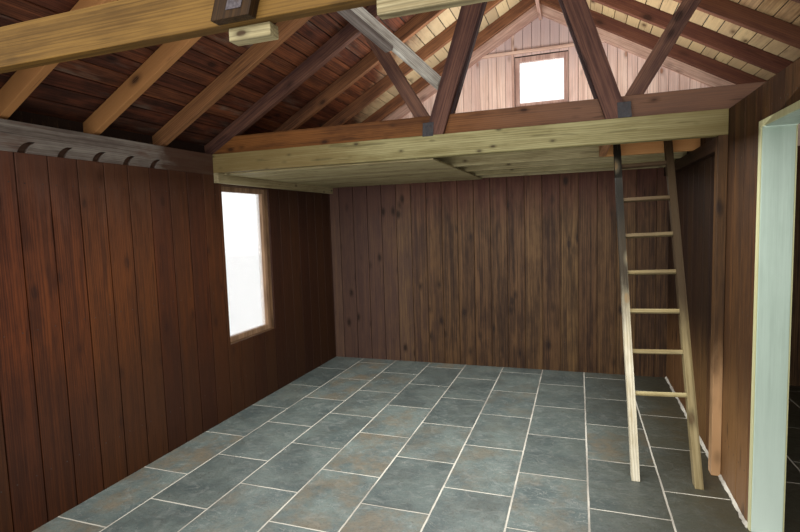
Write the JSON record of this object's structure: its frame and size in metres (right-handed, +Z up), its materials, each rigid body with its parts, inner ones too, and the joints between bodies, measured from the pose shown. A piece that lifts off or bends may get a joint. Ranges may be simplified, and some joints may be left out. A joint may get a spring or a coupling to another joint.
{
  "type": "loft end of a timber stable",
  "caption": "End bays of a small timber stable seen from inside: braced roof truss over a sleeping loft with a ladder, boarded walls and a slate floor.",
  "frame": {"origin": "ground level at the middle of the plan's outline, roof included", "axes": "+Y runs from the open near end to the gable, +X to the right of someone walking in, +Z up"},
  "size_m": [5.36, 4.343, 3.7646],
  "materials": {
    "slate": "riven slate flags with pale mortar",
    "wall_boards": "dark stained vertical boards",
    "partition_boards": "mid brown stained vertical boards",
    "plate_wood": "grey weathered timber",
    "honey_pine": "planed honey pine",
    "orange_pine": "orange brown stained pine",
    "truss_wood": "dark red brown stained timber",
    "new_pine": "new pale pine with knots",
    "rafter_wood": "brown stained timber",
    "roof_boards": "stained sarking boards",
    "felt": "mineral roofing felt",
    "ladder_wood": "pale weathered timber",
    "grey_wood": "grey weathered board",
    "white_paint": "white painted timber",
    "window_wood": "stained timber",
    "glass": "clear glass"
  },
  "bodies": {
    "root": {"floor_slab": "slate", "left_wall": "wall_boards", "right_wall": "wall_boards", "gable_wall": "wall_boards", "left_window_frame": "window_wood", "right_window_frame": "window_wood", "gable_window_frame": "window_wood", "left_window_glass": "glass", "right_window_glass": "glass", "gable_window_glass": "glass", "gable_rail": "rafter_wood", "gable_stub": "rafter_wood", "door_trim": "white_paint", "left_wall_plate": "plate_wood", "right_wall_plate": "plate_wood", "partition_near": "partition_boards", "partition_far": "partition_boards", "partition_head": "partition_boards", "door_lining": "white_paint", "header_post": "partition_boards", "near_tie_beam": "honey_pine", "near_chords": "truss_wood", "near_inner_struts": "truss_wood", "near_outer_struts": "truss_wood", "loft_tie_beam": "orange_pine", "loft_left_chord": "truss_wood", "loft_right_chord": "truss_wood", "loft_left_inner_strut": "truss_wood", "loft_right_inner_strut": "truss_wood", "loft_left_outer_strut": "truss_wood", "loft_right_outer_strut": "truss_wood", "ridge_board": "rafter_wood", "left_rafters": "rafter_wood", "right_rafters": "rafter_wood", "left_roof_boards": "roof_boards", "right_roof_boards": "roof_boards", "roof_felt": "felt", "header_beam": "new_pine", "loft_joists": "new_pine", "hatch_trimmer": "new_pine", "left_ledger": "new_pine", "partition_ledger": "new_pine", "loft_deck": "new_pine", "ladder_left_rail": "ladder_wood", "ladder_right_rail": "ladder_wood", "ladder_rungs": "ladder_wood", "roof_brace": "grey_wood", "brace_doubler": "grey_wood", "near_second_struts": "truss_wood", "loft_second_struts": "truss_wood", "tie_batten": "new_pine", "tie_packer": "new_pine", "soffit_boards": "new_pine"}
  },
  "joints": []
}
